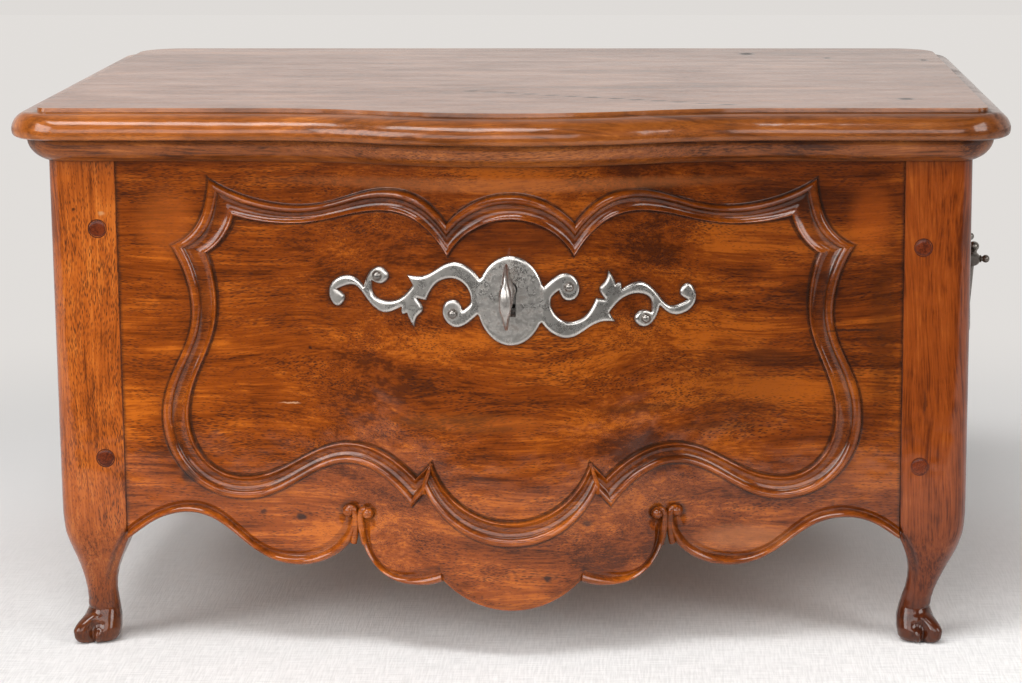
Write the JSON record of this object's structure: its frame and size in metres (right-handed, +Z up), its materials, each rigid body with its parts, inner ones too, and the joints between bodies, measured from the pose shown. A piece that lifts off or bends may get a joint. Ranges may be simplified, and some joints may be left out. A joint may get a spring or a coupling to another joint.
{
  "type": "desk letter box",
  "caption": "Serpentine-fronted walnut box on short scroll feet, with a moulded hinged lid, carved front, lock with pierced steel plate and key, and drop handles at the ends.",
  "frame": {"origin": "floor level under the middle of the box's bounding box, which runs from the key's bow in front to the lid's rear edge", "axes": "+X to the right along the front, which faces -Y; +Y to the back; +Z up"},
  "size_m": [0.5182, 0.4, 0.2835],
  "materials": {
    "walnut": "waxed and polished, worn bright on the ridges",
    "inside_walnut": "planed, unpolished",
    "peg_wood": "end grain, waxed",
    "cut_steel": "bright cut and filed steel, lightly speckled",
    "forged_iron": "filed iron, darkened",
    "key_steel": "filed steel, worn and brown in the corners",
    "handle_iron": "forged iron, rubbed smooth"
  },
  "bodies": {
    "carcass": {"back_board": "walnut", "bolt_keepers": "forged_iron", "bolt_spring": "forged_iron", "bottom_plank_front": "inside_walnut", "bottom_plank_rear": "inside_walnut", "escutcheon": "cut_steel", "escutcheon_studs": "cut_steel", "front_board": "walnut", "front_left_leg": "walnut", "front_pegs": "peg_wood", "front_right_leg": "walnut", "hinge_body_screws": "forged_iron", "left_handle_nuts": "handle_iron", "left_handle_posts": "handle_iron", "left_handle_rosettes": "handle_iron", "left_hinge_body_leaf": "forged_iron", "left_hinge_pin": "forged_iron", "left_side_board": "walnut", "lock_case": "forged_iron", "lock_cover": "forged_iron", "lock_nails": "forged_iron", "rear_left_leg": "walnut", "rear_pegs": "peg_wood", "rear_right_leg": "walnut", "right_handle_nuts": "handle_iron", "right_handle_posts": "handle_iron", "right_handle_rosettes": "handle_iron", "right_hinge_body_leaf": "forged_iron", "right_hinge_pin": "forged_iron", "right_side_board": "walnut", "side_pegs": "peg_wood"},
    "lid": {"lid_board": "walnut", "lid_front_moulding": "walnut", "lid_left_moulding": "walnut", "lid_right_moulding": "walnut", "lid_rear_moulding": "walnut", "left_hinge_lid_leaf": "forged_iron", "right_hinge_lid_leaf": "forged_iron", "hinge_lid_screws": "forged_iron", "lid_staple": "forged_iron", "staple_nails": "forged_iron"},
    "lock_pin": {"lock_pin": "forged_iron"},
    "key": {"key": "key_steel"},
    "bolt": {"lock_bolt": "forged_iron", "bolt_arm": "forged_iron"},
    "left_bail": {"left_bail": "handle_iron"},
    "right_bail": {"right_bail": "handle_iron"}
  },
  "joints": [
    {"name": "lid_hinge", "type": "hinge", "parent": "carcass", "child": "lid", "pos_m": [0, 0.181, 0.257], "axis": [-1, 0, 0], "range_deg": [0, 100]},
    {"name": "key_turn", "type": "hinge", "parent": "carcass", "child": "lock_pin", "pos_m": [0, -0.132, 0.1945], "axis": [0, 1, 0], "range_deg": [0, 50]},
    {"name": "key_withdraw", "type": "slide", "parent": "lock_pin", "child": "key", "axis": [0, -1, 0], "range_m": [0, 0.045]},
    {"name": "bolt_slide", "type": "slide", "parent": "carcass", "child": "bolt", "axis": [-1, 0, 0], "range_m": [0, 0.009]},
    {"name": "left_bail_swing", "type": "hinge", "parent": "carcass", "child": "left_bail", "pos_m": [-0.2483, 0.022, 0.1865], "axis": [0, 1, 0], "range_deg": [0, 90]},
    {"name": "right_bail_swing", "type": "hinge", "parent": "carcass", "child": "right_bail", "pos_m": [0.2483, 0.022, 0.1865], "axis": [0, -1, 0], "range_deg": [0, 90]}
  ],
  "couplings": [
    {"joint": "key_turn", "follows": "bolt_slide", "rad_per_m": 96.96}
  ]
}
